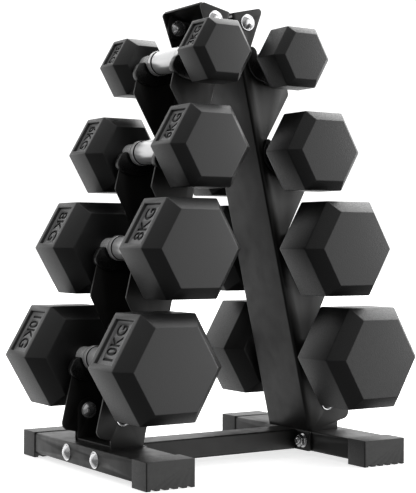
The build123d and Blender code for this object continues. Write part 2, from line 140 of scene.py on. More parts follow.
class Graph:
    """Node graph of one material, with short ways to add and join nodes."""

    def __init__(self, name: str) -> None:
        """Starts a material with a principled shader and object coordinates.

        Args:
            name: The material's name.
        """
        self.material = bpy.data.materials.new(name)
        self.material.use_nodes = True
        self.tree = self.material.node_tree
        self.tree.nodes.clear()
        output = self.add("ShaderNodeOutputMaterial")
        self.shader = self.add("ShaderNodeBsdfPrincipled")
        self.join(self.shader.outputs["BSDF"], output.inputs["Surface"])
        self.place = self.add("ShaderNodeTexCoord").outputs["Object"]

    def add(self, kind: str, **settings: object) -> bpy.types.Node:
        """Adds a node and sets its properties.

        Args:
            kind: The node's type name.
            settings: Node properties by name.

        Returns:
            The new node.
        """
        node = self.tree.nodes.new(kind)
        for key, value in settings.items():
            setattr(node, key, value)
        return node

    def join(self, source: Socket, target: Socket) -> None:
        """Links an output socket to an input socket."""
        self.tree.links.new(source, target)

    def set(self, **values: object) -> None:
        """Sets the shader's own sockets, with underscores for spaces in their names."""
        for key, value in values.items():
            self.shader.inputs[key.replace("_", " ")].default_value = value

    def noise(self, scale: float, detail: float = 3.0, stretch: Vector | None = None) -> Socket:
        """Adds a noise pattern on object coordinates.

        Args:
            scale: Cells a metre.
            detail: Octaves of finer noise.
            stretch: Scale along each axis, for brushed or drawn marks.

        Returns:
            The pattern's value socket, from 0 to 1.
        """
        node = self.add("ShaderNodeTexNoise")
        node.inputs["Scale"].default_value = scale
        node.inputs["Detail"].default_value = detail
        where = self.place
        if stretch is not None:
            mapping = self.add("ShaderNodeMapping")
            mapping.inputs["Scale"].default_value = stretch
            self.join(self.place, mapping.inputs["Vector"])
            where = mapping.outputs["Vector"]
        self.join(where, node.inputs["Vector"])
        return node.outputs["Fac"]

    def cells(self, scale: float) -> Socket:
        """Adds a cell pattern and returns its distance socket."""
        node = self.add("ShaderNodeTexVoronoi")
        node.inputs["Scale"].default_value = scale
        self.join(self.place, node.inputs["Vector"])
        return node.outputs["Distance"]

    def spread(self, source: Socket, low: float, high: float) -> Socket:
        """Maps the middle part of a pattern's range to new limits.

        Args:
            source: The pattern.
            low: Value at the start of the range.
            high: Value at its end.

        Returns:
            The mapped value.
        """
        node = self.add("ShaderNodeMapRange")
        node.inputs["From Min"].default_value = PATTERN_LOW
        node.inputs["From Max"].default_value = PATTERN_HIGH
        node.inputs["To Min"].default_value = low
        node.inputs["To Max"].default_value = high
        self.join(source, node.inputs["Value"])
        return node.outputs["Result"]

    def tint(
        self,
        source: Socket,
        dark: tuple,
        light: tuple,
        start: float = PATTERN_LOW,
        stop: float = PATTERN_HIGH,
    ) -> Socket:
        """Blends two colours by a pattern.

        Args:
            source: The pattern.
            dark: Colour at its low end.
            light: Colour at its high end.
            start: Where the blend starts in the pattern.
            stop: Where it ends.

        Returns:
            The colour socket.
        """
        ramp = self.add("ShaderNodeValToRGB")
        ramp.color_ramp.elements[0].position = start
        ramp.color_ramp.elements[0].color = (*dark, 1.0)
        ramp.color_ramp.elements[1].position = stop
        ramp.color_ramp.elements[1].color = (*light, 1.0)
        self.join(source, ramp.inputs["Fac"])
        return ramp.outputs["Color"]

    def total(self, first: Socket, second: Socket, share: float) -> Socket:
        """Adds a share of a second pattern to a first and returns the sum."""
        scaled = self.add("ShaderNodeMath", operation="MULTIPLY")
        scaled.inputs[1].default_value = share
        self.join(second, scaled.inputs[0])
        both = self.add("ShaderNodeMath", operation="ADD")
        self.join(first, both.inputs[0])
        self.join(scaled.outputs[0], both.inputs[1])
        return both.outputs[0]

    def relief(self, height: Socket, depth: float, strength: float = 1.0) -> None:
        """Bumps the shader's normal by a height pattern of a given depth in metres."""
        bump = self.add("ShaderNodeBump")
        bump.inputs["Distance"].default_value = depth
        bump.inputs["Strength"].default_value = strength
        self.join(height, bump.inputs["Height"])
        self.join(bump.outputs["Normal"], self.shader.inputs["Normal"])

    def feed(self, source: Socket, socket: str) -> None:
        """Joins a pattern to one of the shader's sockets."""
        self.join(source, self.shader.inputs[socket])


@dataclass(frozen=True)
class PowderCoat:
    """Satin black powder coat on sheet steel and tube, with a faint orange peel."""

    name: str = "black powder coat"
    dark: tuple = (0.0060, 0.0058, 0.0055)
    light: tuple = (0.0105, 0.0101, 0.0096)
    sheen: float = 0.36
    roughness: tuple = (0.38, 0.50)
    cloud_scale: float = 9.0
    patch_scale: float = 60.0
    peel_scale: float = 650.0
    peel_depth: float = 0.035 * MM

    def material(self) -> bpy.types.Material:
        """Builds the node graph and returns the material."""
        graph = Graph(self.name)
        graph.set(Specular_IOR_Level=self.sheen)
        clouds = graph.noise(self.cloud_scale, 4.0)
        graph.feed(graph.tint(clouds, self.dark, self.light), "Base Color")
        graph.feed(graph.spread(graph.noise(self.patch_scale, 5.0), *self.roughness), "Roughness")
        graph.relief(graph.noise(self.peel_scale, 2.0), self.peel_depth)
        return graph.material


@dataclass(frozen=True)
class MouldedRubber:
    """Moulded rubber skin of a dumbbell head: a fine grain with lighter specks."""

    grain: Grain
    name: str = "moulded rubber"
    dark: tuple = (0.006, 0.006, 0.0062)
    light: tuple = (0.028, 0.028, 0.0284)
    roughness: tuple = (0.34, 0.50)
    fine_share: float = 3.0
    blend: float = 0.45
    cloud_scale: float = 25.0
    grain_scale: float = 1100.0
    grain_depth: float = 0.10 * MM
    grain_strength: float = 0.5
    pit_scale: float = 0.55
    pit_share: float = 0.8

    def material(self) -> bpy.types.Material:
        """Builds the node graph and returns the material."""
        graph = Graph(f"{self.name} {self.grain.name.lower()}")
        fine = graph.noise(self.grain_scale / self.grain.value, 2.0)
        broad = graph.noise(self.cloud_scale, 4.0)
        speckle = graph.total(broad, fine, self.fine_share)
        middle = 0.5 + 0.5 * self.fine_share
        pale = tuple(part * self.grain.value**2 for part in self.light)
        start, stop = middle - self.blend, middle + self.blend
        graph.feed(graph.tint(speckle, self.dark, pale, start, stop), "Base Color")
        graph.feed(graph.spread(fine, *self.roughness), "Roughness")
        pits = graph.cells(self.grain_scale * self.pit_scale)
        height = graph.total(fine, pits, self.pit_share)
        graph.relief(height, self.grain_depth * self.grain.value, self.grain_strength)
        return graph.material


@dataclass(frozen=True)
class LabelRubber:
    """Smooth floor of a label recess, rubbed to a paler grey."""

    name: str = "label floor rubber"
    dark: tuple = (0.105, 0.105, 0.106)
    light: tuple = (0.160, 0.160, 0.162)
    roughness: tuple = (0.45, 0.6)
    tint_scale: float = 900.0
    patch_scale: float = 700.0
    grain_scale: float = 1400.0
    grain_depth: float = 0.05 * MM
    grain_strength: float = 0.5

    def material(self) -> bpy.types.Material:
        """Builds the node graph and returns the material."""
        graph = Graph(self.name)
        rubbed = graph.noise(self.tint_scale, 4.0)
        graph.feed(graph.tint(rubbed, self.dark, self.light), "Base Color")
        graph.feed(graph.spread(graph.noise(self.patch_scale), *self.roughness), "Roughness")
        graph.relief(graph.noise(self.grain_scale), self.grain_depth, self.grain_strength)
        return graph.material


@dataclass(frozen=True)
class MarkShadow:
    """Walls and floor of the engraved weight marks, painted near-black as the shade that falls in the
    strokes.
    """

    name: str = "engraved mark"
    dark: tuple = (0.002, 0.002, 0.002)
    light: tuple = (0.006, 0.006, 0.006)
    roughness: tuple = (0.6, 0.8)
    tint_scale: float = 1200.0
    patch_scale: float = 800.0

    def material(self) -> bpy.types.Material:
        """Builds the node graph and returns the material."""
        graph = Graph(self.name)
        graph.feed(graph.tint(graph.noise(self.tint_scale), self.dark, self.light), "Base Color")
        graph.feed(graph.spread(graph.noise(self.patch_scale), *self.roughness), "Roughness")
        return graph.material


@dataclass(frozen=True)
class Chrome:
    """Plated steel, drawn along or turned around one axis."""

    name: str
    roughness: tuple
    marks: Vector | None = None
    dark: tuple = (0.58, 0.58, 0.59)
    light: tuple = (0.78, 0.78, 0.79)
    metal: float = 1.0
    mark_scale: float = 700.0
    mark_depth: float = 0.01 * MM
    mark_strength: float = 0.4

    def material(self) -> bpy.types.Material:
        """Builds the node graph and returns the material."""
        graph = Graph(self.name)
        graph.set(Metallic=self.metal)
        lines = graph.noise(self.mark_scale, 4.0, self.marks)
        graph.feed(graph.tint(lines, self.dark, self.light), "Base Color")
        graph.feed(graph.spread(lines, *self.roughness), "Roughness")
        graph.relief(lines, self.mark_depth, self.mark_strength)
        return graph.material


@dataclass(frozen=True)
class MouldedPlastic:
    """Black injection-moulded plastic with a light spark texture."""

    name: str
    dark: tuple
    light: tuple
    roughness: tuple
    tint_scale: float = 300.0
    patch_scale: float = 500.0
    texture_scale: float = 1600.0
    texture_depth: float = 0.05 * MM
    texture_strength: float = 0.6

    def material(self) -> bpy.types.Material:
        """Builds the node graph and returns the material."""
        graph = Graph(self.name)
        shades = graph.noise(self.tint_scale, 4.0)
        graph.feed(graph.tint(shades, self.dark, self.light), "Base Color")
        graph.feed(graph.spread(graph.noise(self.patch_scale), *self.roughness), "Roughness")
        graph.relief(graph.noise(self.texture_scale), self.texture_depth, self.texture_strength)
        return graph.material


@dataclass(frozen=True)
class StudioFloor:
    """Seamless white floor with the faintest mottle, lit a little from within."""

    name: str = "studio floor"
    dark: tuple = (0.90, 0.90, 0.90)
    light: tuple = (0.92, 0.92, 0.92)
    cloud_scale: float = 2.0
    roughness: float = 0.7
    own_light: float = 0.72

    def material(self) -> bpy.types.Material:
        """Builds the node graph and returns the material."""
        graph = Graph(self.name)
        clouds = graph.noise(self.cloud_scale)
        graph.feed(graph.tint(clouds, self.dark, self.light), "Base Color")
        graph.set(
            Roughness=self.roughness, Emission_Color=WHITE, Emission_Strength=self.own_light
        )
        return graph.material


class Finishes:
    """Every finish of the rack, made once and shared by its pieces."""

    def __init__(self) -> None:
        """Makes the materials."""
        self.coat = PowderCoat().material()
        self.rubber = {grain: MouldedRubber(grain).material() for grain in Grain}
        self.label = LabelRubber().material()
        # Painted shade: near-black stands in for the shade in the engraved strokes of the weight marks.
        self.mark = MarkShadow().material()
        self.handle = Chrome(
            "satin chrome",
            roughness=(0.22, 0.26),
            marks=Vector((0.15, 1.0, 0.15)),
            dark=(0.82, 0.82, 0.83),
            light=(0.86, 0.86, 0.86),
            metal=0.6,
            mark_depth=0.0005 * MM,
        ).material()
        # Painted highlight: the necks are the same chrome as the grip, made paler and less metallic to
        # stand in for their bright reflection.
        self.neck = Chrome(
            "bright neck",
            roughness=(0.2, 0.3),
            dark=(0.86, 0.86, 0.86),
            light=(0.94, 0.94, 0.94),
            metal=0.2,
        ).material()
        # Painted shade: dark chrome stands in for the shadow in the grooves beside the rings and on the
        # rings' shoulders.
        self.groove = Chrome(
            "shadowed chrome",
            roughness=(0.3, 0.5),
            dark=(0.02, 0.02, 0.02),
            light=(0.05, 0.05, 0.05),
        ).material()
        self.bolt = Chrome(
            "bright chrome",
            roughness=(0.12, 0.22),
            dark=(0.66, 0.66, 0.67),
            light=(0.84, 0.84, 0.85),
            metal=0.85,
        ).material()
        self.nut = Chrome(
            "zinc plate",
            roughness=(0.18, 0.34),
            dark=(0.42, 0.42, 0.43),
            light=(0.62, 0.62, 0.62),
        ).material()
        self.cap = MouldedPlastic(
            "cap plastic",
            dark=(0.006, 0.006, 0.0057),
            light=(0.011, 0.011, 0.0105),
            roughness=(0.44, 0.54),
        ).material()
        self.liner = MouldedPlastic(
            "liner plastic",
            dark=(0.006, 0.006, 0.006),
            light=(0.010, 0.010, 0.010),
            roughness=(0.25, 0.36),
        ).material()
        self.floor = StudioFloor().material()


# ---------------------------------------------------------------- bench work


def deselect() -> None:
    """Leaves edit mode and deselects everything."""
    if bpy.context.object is not None and bpy.context.object.mode != "OBJECT":
        bpy.ops.object.mode_set(mode="OBJECT")
    bpy.ops.object.select_all(action="DESELECT")


def pick(*objects: Mesh) -> None:
    """Selects only these objects and makes the last one active."""
    deselect()
    for obj in objects:
        obj.select_set(True)
        bpy.context.view_layer.objects.active = obj


def edit(obj: Mesh) -> None:
    """Opens one object in edit mode, in face select, with nothing selected."""
    pick(obj)
    bpy.ops.object.mode_set(mode="EDIT")
    bpy.ops.mesh.select_mode(type="FACE")
    bpy.ops.mesh.select_all(action="DESELECT")


def close() -> None:
    """Leaves edit mode."""
    bpy.ops.object.mode_set(mode="OBJECT")


def select_faces(obj: Mesh, test: Callable[[Vector, Vector], bool]) -> None:
    """Selects an edited object's faces by their place or normal.

    Args:
        obj: The object in edit mode.
        test: Says yes or no to a face's centre and normal.
    """
    shape = bmesh.from_edit_mesh(obj.data)
    for face in shape.faces:
        face.select_set(test(face.calc_center_median(), face.normal))
    shape.select_flush_mode()
    bmesh.update_edit_mesh(obj.data)


def freeze(obj: Mesh) -> None:
    """Moves an object's place and turn into its mesh."""
    pick(obj)
    bpy.ops.object.transform_apply(location=True, rotation=True, scale=True)


def own_copy(obj: Mesh, name: str) -> Mesh:
    """Copies an object with a mesh of its own."""
    twin = obj.copy()
    twin.data = obj.data.copy()
    twin.name = name
    twin.data.name = name
    bpy.context.scene.collection.objects.link(twin)
    return twin


def place_mesh(obj: Mesh, where: Matrix) -> None:
    """Moves the mesh itself; a mirrored mesh gets its faces turned back out."""
    obj.data.transform(where)
    if where.determinant() < 0:
        obj.data.flip_normals()
    obj.data.update()


def shade(obj: Mesh, angle: float) -> None:
    """Shades an object smooth, apart from edges sharper than an angle in degrees."""
    pick(obj)
    bpy.ops.object.shade_smooth_by_angle(angle=math.radians(angle))


def soften(obj: Mesh, width: float, segments: int = 2) -> None:
    """Rounds an object's sharp edges and shades it smooth between them.

    Args:
        obj: The object.
        width: The rounding's width in metres.
        segments: Steps in the rounding.
    """
    bevel = obj.modifiers.new("edge rounding", "BEVEL")
    bevel.width = width
    bevel.segments = segments
    bevel.limit_method = "ANGLE"
    bevel.angle_limit = math.radians(ROUNDED_ANGLE)
    bevel.harden_normals = False
    pick(obj)
    bpy.ops.object.modifier_apply(modifier=bevel.name)
    shade(obj, CRISP_ANGLE)


def join(objects: list[Mesh], name: str) -> Mesh:
    """Joins objects into the first one and names it."""
    pick(*objects[1:], objects[0])
    bpy.ops.object.join()
    objects[0].name = name
    objects[0].data.name = name
    return objects[0]


def lathe(stations: list[tuple[float, float]], steps: int) -> Mesh:
    """Turns a solid about the Y axis: a disc is drawn out from station to station.

    Args:
        stations: Place along Y and radius, from one end to the other.
        steps: Corners around the axis.

    Returns:
        The closed solid.
    """
    start, radius = stations[0]
    deselect()
    bpy.ops.mesh.primitive_circle_add(
        vertices=steps,
        radius=radius,
        fill_type="NGON",
        location=(0, start, 0),
        rotation=(-math.pi / 2, 0, 0),
    )
    obj = bpy.context.object
    freeze(obj)
    bpy.ops.object.mode_set(mode="EDIT")
    bpy.ops.mesh.select_all(action="SELECT")
    for (last_y, last_r), (y, r) in zip(stations, stations[1:]):
        bpy.ops.mesh.extrude_region_move(TRANSFORM_OT_translate={"value": (0, y - last_y, 0)})
        ratio = r / last_r
        bpy.ops.transform.resize(value=(ratio, 1, ratio), center_override=(0, y, 0))
    bpy.ops.mesh.select_all(action="SELECT")
    bpy.ops.mesh.normals_make_consistent(inside=False)
    close()
    return obj


@dataclass
class Workshop:
    """What every sub-assembly needs: the frame and the finishes."""

    frame: dict
    finishes: Finishes

    def hand_over(
        self, obj: Mesh, body: str, slot: str, finish: bpy.types.Material | None, *nodes: str
    ) -> None:
        """Dresses a finished piece and ties it to its CAD body.

        Args:
            obj: The piece.
            body: The CAD body it rides on.
            slot: The record's material slot it stands for; not used.
            finish: Its one finish, or None if its faces already have theirs.
            nodes: The CAD nodes it replaces.
        """
        if finish is not None:
            obj.data.materials.clear()
            obj.data.materials.append(finish)
        if nodes:
            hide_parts(*nodes)
        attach(obj, body)
        LOG.info("%s: %d faces", obj.name, len(obj.data.polygons))

    def from_cad(self, node: str, name: str) -> Mesh:
        """Copies a CAD node's mesh and merges its loose triangles into clean faces.

        Args:
            node: The CAD node.
            name: The new piece's name.

        Returns:
            The new object, with no material.
        """
        source = self.frame["nodes"][node]
        obj = bpy.data.objects.new(name, source.data.copy())
        obj.data.name = name
        bpy.context.scene.collection.objects.link(obj)
        obj.data.materials.clear()
        edit(obj)
        bpy.ops.mesh.select_all(action="SELECT")
        bpy.ops.mesh.remove_doubles(threshold=WELD_DISTANCE)
        bpy.ops.mesh.customdata_custom_splitnormals_clear()
        bpy.ops.mesh.dissolve_limited(angle_limit=math.radians(FLAT_ANGLE))
        close()
        return obj


# ---------------------------------------------------------------- the rack


@dataclass
class SteelFrame:
    """Uprights, connector, brackets, feet and cross tube, all in powder coat."""

    shop: Workshop
    sheet_round: float = 0.45 * MM
    tube_round: float = 0.5 * MM
    pieces: dict[str, float] = field(default_factory=dict)

    def __post_init__(self) -> None:
        """Lists each node with the rounding of its cut edges."""
        for side in Side:
            word = side.name.lower()
            self.pieces[f"{word}_upright"] = self.sheet_round
            self.pieces[f"{word}_foot_bracket"] = self.sheet_round
            self.pieces[f"{word}_foot_tube"] = self.tube_round
            self.pieces[f"{word}_cross_tube_end_plate"] = self.sheet_round
        self.pieces["top_connector"] = self.sheet_round
        self.pieces["cross_tube"] = self.tube_round

    def build(self) -> None:
        """Rebuilds each steel piece with rounded edges and coats it."""
        for node, rounding in self.pieces.items():
            obj = self.shop.from_cad(node, f"{node}_coated")
            soften(obj, rounding)
            self.shop.hand_over(obj, "rack", "black_powder_coat", self.shop.finishes.coat, node)


@dataclass
class Mouldings:
    """End caps of the feet and liners of the saddles."""

    shop: Workshop
    cap_round: float = 0.6 * MM
    liner_round: float = 1.3 * MM

    def build(self) -> None:
        """Rebuilds each moulding with rounded edges."""
        finishes = self.shop.finishes
        for side in Side:
            for end in End:
                where = f"{side.name.lower()}_{end.name.lower()}"
                node = f"{where}_end_cap"
                cap = self.shop.from_cad(node, f"{where}_cap_moulding")
                soften(cap, self.cap_round)
                self.shop.hand_over(cap, "rack", "black_plastic", finishes.cap, node)
                node = f"{where}_saddle_liners"
                liner = self.shop.from_cad(node, f"{where}_liner_mouldings")
                soften(liner, self.liner_round, 3)
                self.shop.hand_over(liner, "rack", "black_plastic", finishes.liner, node)


@dataclass
class Fastener:
    """One dome-head bolt with its flanged nut, laid along Y with the head facing -Y."""

    grip: float
    head_radius: float = 10.0 * MM
    head_height: float = 5.4 * MM
    rim: float = 1.1 * MM
    shank_radius: float = 4.0 * MM
    nut_flats: float = 13.0 * MM
    nut_height: float = 8.0 * MM
    flange_radius: float = 8.8 * MM
    flange_height: float = 1.6 * MM
    thread_end: float = 3.0 * MM
    thread_pitch: float = 1.25 * MM
    thread_depth: float = 0.5 * MM
    dome_share: float = 0.84
    dome_steps: int = 12
    dome_foot: tuple = (0.25 * MM, 0.15 * MM)
    rim_edge: tuple = (0.3 * MM, 0.35 * MM)
    tip_chamfer: tuple = (0.8 * MM, 0.9 * MM)
    tip_relief: float = 0.1 * MM
    hexagon_round: float = 0.5 * MM
    flange_edge: float = 0.2 * MM
    flange_rim: float = 0.8 * MM
    flange_slope: float = 0.4 * MM
    flange_neck: float = 0.3 * MM
    steps: int = 48
    crisp_angle: float = 30.0

    def bolt(self) -> Mesh:
        """Turns the bolt: domed head with a thin rim flange, shank and threaded tip."""
        dome_radius = self.head_radius * self.dome_share
        rise = self.head_height - self.rim
        ball = (dome_radius**2 + rise**2) / (2 * rise)
        top = math.asin(dome_radius / ball)
        stations = []
        for n in range(1, self.dome_steps + 1):
            angle = top * n / self.dome_steps
            y = -self.head_height + ball * (1 - math.cos(angle))
            stations.append((y, ball * math.sin(angle)))
        stations.append((-self.rim + self.dome_foot[0], dome_radius + self.dome_foot[1]))
        stations.append((-self.rim, self.head_radius - self.rim_edge[1]))
        stations.append((-self.rim + self.rim_edge[0], self.head_radius))
        stations.append((0.0, self.head_radius))
        stations.append((0.0, self.shank_radius))
        tip = self.grip + self.nut_height + self.thread_end
        y = self.grip
        stations.append((y, self.shank_radius))
        while y < tip - 2 * self.thread_pitch:
            stations.append((y + 0.5 * self.thread_pitch, self.shank_radius - self.thread_depth))
            y += self.thread_pitch
            stations.append((y, self.shank_radius))
        stations.append((tip - self.tip_chamfer[0], self.shank_radius - self.tip_relief))
        stations.append((tip, self.shank_radius - self.tip_chamfer[1]))
        obj = lathe(stations, self.steps)
        shade(obj, self.crisp_angle)
        return obj

    def nut(self) -> Mesh:
        """Models the nut: a hexagon drawn from a round flange, with a chamfered top."""
        deselect()
        bpy.ops.mesh.primitive_cylinder_add(
            vertices=6,
            radius=self.nut_flats / math.sqrt(3),
            depth=self.nut_height - self.flange_height,
            location=(0, self.grip + (self.nut_height + self.flange_height) / 2, 0),
            rotation=(math.pi / 2, 0, 0),
        )
        hexagon = bpy.context.object
        freeze(hexagon)
        soften(hexagon, self.hexagon_round, 3)
        flange = lathe(
            [
                (self.grip, self.flange_radius - self.flange_edge),
                (self.grip + self.flange_edge, self.flange_radius),
                (self.grip + self.flange_rim, self.flange_radius),
                (self.grip + self.flange_height, self.nut_flats / 2 + self.flange_slope),
                (self.grip + self.flange_height + self.flange_neck, self.nut_flats / 2),
            ],
            self.steps,
        )
        shade(flange, self.crisp_angle)
        return join([hexagon, flange], "nut blank")


@dataclass
class Fasteners:
    """Every bolt and nut of the rack, placed from the CAD nodes they replace."""

    shop: Workshop
    sheet_grip: float = 5.0 * MM
    channel_half: float = 45.0 * MM
    inner_face: float = 40.0 * MM
    foot_bolt_half_spacing: float = 35.0 * MM

    def set_out(
        self, blank: Mesh, places: list[Matrix], node: str, finish: bpy.types.Material, slot: str
    ) -> None:
        """Copies one blank to every place and joins the copies into the node's piece.

        Args:
            blank: The bolt or nut, laid along Y.
            places: Where each copy goes.
            node: The CAD node that the piece replaces.
            finish: The piece's finish.
            slot: The record's material slot.
        """
        copies = []
        for place in places:
            copy = own_copy(blank, node)
            place_mesh(copy, place)
            copies.append(copy)
        piece = join(copies, f"{node}_turned")
        self.shop.hand_over(piece, "rack", slot, finish, node)

    def sheet_places(self, node: str) -> list[Matrix]:
        """Places of four bolts through the channels' flanges, one through each flange."""
        low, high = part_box(node)
        x = high[0] - Fastener.head_radius
        z = (low[2] + high[2]) / 2
        faces = (-self.channel_half, self.inner_face)
        return [Matrix.Translation((side.value * x, y, z)) for side in Side for y in faces]

    def foot_places(self) -> list[Matrix]:
        """Places of the four bolts through the feet, heads outward."""
        low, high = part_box("foot_bolts")
        x = high[0] - Fastener.head_height
        z = (low[2] + high[2]) / 2
        places = []
        for side in Side:
            for end in End:
                where = Matrix.Translation((side.value * x, end.value * self.foot_bolt_half_spacing, z))
                places.append(where @ Matrix.Rotation(side.value * math.pi / 2, 4, "Z"))
        return places

    def build(self) -> None:
        """Makes the two kinds of fastener and sets them out."""
        finishes = self.shop.finishes
        short = Fastener(self.sheet_grip)
        foot_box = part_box("right_foot_tube")
        plate_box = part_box("right_cross_tube_end_plate")
        long = Fastener(foot_box[1][0] - plate_box[0][0])
        in_sheet = {
            "connector": self.sheet_places("connector_bolts"),
            "leg": self.sheet_places("leg_bolts"),
        }
        for fastener, groups in ((short, in_sheet), (long, {"foot": self.foot_places()})):
            bolt, nut = fastener.bolt(), fastener.nut()
            for name, places in groups.items():
                self.set_out(bolt, places, f"{name}_bolts", finishes.bolt, "bolt_chrome")
                self.set_out(nut, places, f"{name}_nuts", finishes.nut, "zinc_nuts")
            for blank in (bolt, nut):
                bpy.data.objects.remove(blank, do_unlink=True)


# ---------------------------------------------------------------- the dumbbells


@dataclass
class Dumbbell:
    """One size of dumbbell: two hexagonal rubber heads on a turned chrome handle.

    Sizes are in metres, about the middle of the handle, which lies along Y.
    """

    shop: Workshop
    level: int
    weight: str
    rim: float
    outer_bevel: float
    end_flats: float
    inner_bevel: float
    inner_flats: float
    handle_length: float = 120.0 * MM
    neck: float = 12.5 * MM
    ring: float = 15.5 * MM
    grip_end: float = 14.4 * MM
    grip_middle: float = 15.1 * MM
    groove: float = 13.4 * MM
    ring_outer: float = 38.0 * MM
    ring_length: float = 9.5 * MM
    groove_length: float = 2.0 * MM
    shadow_length: float = 1.6 * MM
    edge_round: float = 0.9 * MM
    label_margin: float = 0.14
    label_depth: float = 3.2 * MM
    mark_depth: float = 1.2 * MM
    mark_length: float = 0.80
    mark_height: float = 0.40
    stroke_gain: float = 0.018
    overlap: float = 2.0 * MM
    neck_fillet: float = 0.8 * MM
    ring_chamfer: float = 0.5 * MM
    grip_chamfer: float = 0.4 * MM
    grip_steps: int = 16
    shoulder: float = 1.2 * MM
    steps: int = 96
    crisp_angle: float = 32.0

    @property
    def flats(self) -> float:
        """Size across the head's flat sides, from the frame."""
        low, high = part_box(f"left_dumbbell_{self.level}_front_head")
        return high[2] - low[2]

    def middle(self, side: Side) -> Vector:
        """Middle of the handle of one side's dumbbell, from the frame."""
        low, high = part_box(f"{side.name.lower()}_dumbbell_{self.level}_handle")
        return (Vector(low) + Vector(high)) / 2

    def facet(self) -> tuple[Vector, Vector, Vector]:
        """The upper outward facet of the left front head.

        Returns:
            Its centre, its normal, and the direction up along it.
        """
        rise = math.pi / 6
        normal = Vector((-math.cos(rise), 0, math.sin(rise)))
        upward = Vector((math.sin(rise), 0, math.cos(rise)))
        y = -(self.handle_length / 2 + self.inner_bevel + self.rim / 2)
        return normal * self.flats / 2 + Vector((0, y, 0)), normal, upward

    def blank(self) -> Mesh:
        """Models the front head with an empty label recess.

        Returns:
            The head, about the middle of the handle.
        """
        inner_y = -self.handle_length / 2 - self.inner_bevel
        outer_y = inner_y - self.rim
        deselect()
        bpy.ops.mesh.primitive_cylinder_add(
            vertices=6,
            radius=self.flats / math.sqrt(3),
            depth=self.rim,
            location=(0, (inner_y + outer_y) / 2, 0),
            rotation=(math.pi / 2, math.pi / 6, 0),
        )
        obj = bpy.context.object
        freeze(obj)
        edit(obj)
        for sign, bevel, flats, start in (
            (-1, self.outer_bevel, self.end_flats, outer_y),
            (1, self.inner_bevel, self.inner_flats, inner_y),
        ):
            select_faces(obj, lambda centre, normal: normal.y * sign > 0.9)
            bpy.ops.mesh.extrude_region_move(TRANSFORM_OT_translate={"value": (0, sign * bevel, 0)})
            ratio = flats / self.flats
            bpy.ops.transform.resize(value=(ratio, 1, ratio), center_override=(0, start + sign * bevel, 0))
        centre, normal, _ = self.facet()
        select_faces(obj, lambda at, out: (at - centre).length < 1 * MM and out.dot(normal) > 0.9)
        bpy.ops.mesh.inset(thickness=self.label_margin * self.rim)
        bpy.ops.mesh.extrude_region_move(TRANSFORM_OT_translate={"value": -normal * self.label_depth})
        close()
        finishes = self.shop.finishes
        for finish in (finishes.rubber[Grain.FINE], finishes.mark, finishes.label):
            obj.data.materials.append(finish)
        soften(obj, self.edge_round)
        floor = centre - normal * self.label_depth
        for face in obj.data.polygons:
            on_plane = abs((face.center - floor).dot(normal)) < 0.05 * MM
            on_floor = on_plane and face.normal.dot(normal) > 0.99
            face.material_index = FLOOR if on_floor else SKIN
        return obj

    def mark(self, end: End) -> Mesh:
        """Cutter for the weight mark of a left head, read from the end of the handle.

        Args:
            end: Which head the mark is for.

        Returns:
            A solid that stands through the recess's floor.
        """
        deselect()
        bpy.ops.object.text_add()
        text = bpy.context.object
        text.data.body = self.weight
        text.data.align_x = "CENTER"
        text.data.align_y = "CENTER"
        text.data.size = 1.0
        text.data.extrude = 0.5
        text.data.resolution_u = 4
        text.data.offset = self.stroke_gain
        pick(text)
        bpy.ops.object.convert(target="MESH")
        centre, normal, upward = self.facet()
        side_length = self.flats / math.sqrt(3)
        span = Vector(text.dimensions)
        room = side_length - 2 * self.label_margin * self.rim
        long = room * self.mark_length / span.x
        tall = self.rim * self.mark_height / span.y
        middle = sum((Vector(corner) for corner in text.bound_box), Vector()) / 8
        reading = -end.value * upward
        tops = reading.cross(normal) * -1
        basis = Matrix((reading, tops, normal)).transposed().to_4x4()
        floor = Vector((centre.x, -end.value * centre.y, centre.z)) - normal * self.label_depth
        stretch = Matrix.Diagonal((long, tall, 2 * self.mark_depth, 1))
        text.data.transform(Matrix.Translation(floor) @ basis @ stretch @ Matrix.Translation(-middle))
        text.matrix_world = Matrix.Identity(4)
        for _ in (SKIN, MARK_SHADE):
            text.data.materials.append(None)
        # The cutter's faces carry the painted shade onto the stroke walls and floor that the cut leaves.
        text.data.polygons.foreach_set("material_index", [MARK_SHADE] * len(text.data.polygons))
        return text

    def engrave(self, head: Mesh, end: End) -> None:
        """Cuts the weight mark into a head's label floor."""
        cutter = self.mark(end)
        cut = head.modifiers.new("weight mark", "BOOLEAN")
        cut.operation = "DIFFERENCE"
        cut.solver = "EXACT"
        cut.object = cutter
        pick(head)
        bpy.ops.object.modifier_apply(modifier=cut.name)
        bpy.data.objects.remove(cutter, do_unlink=True)

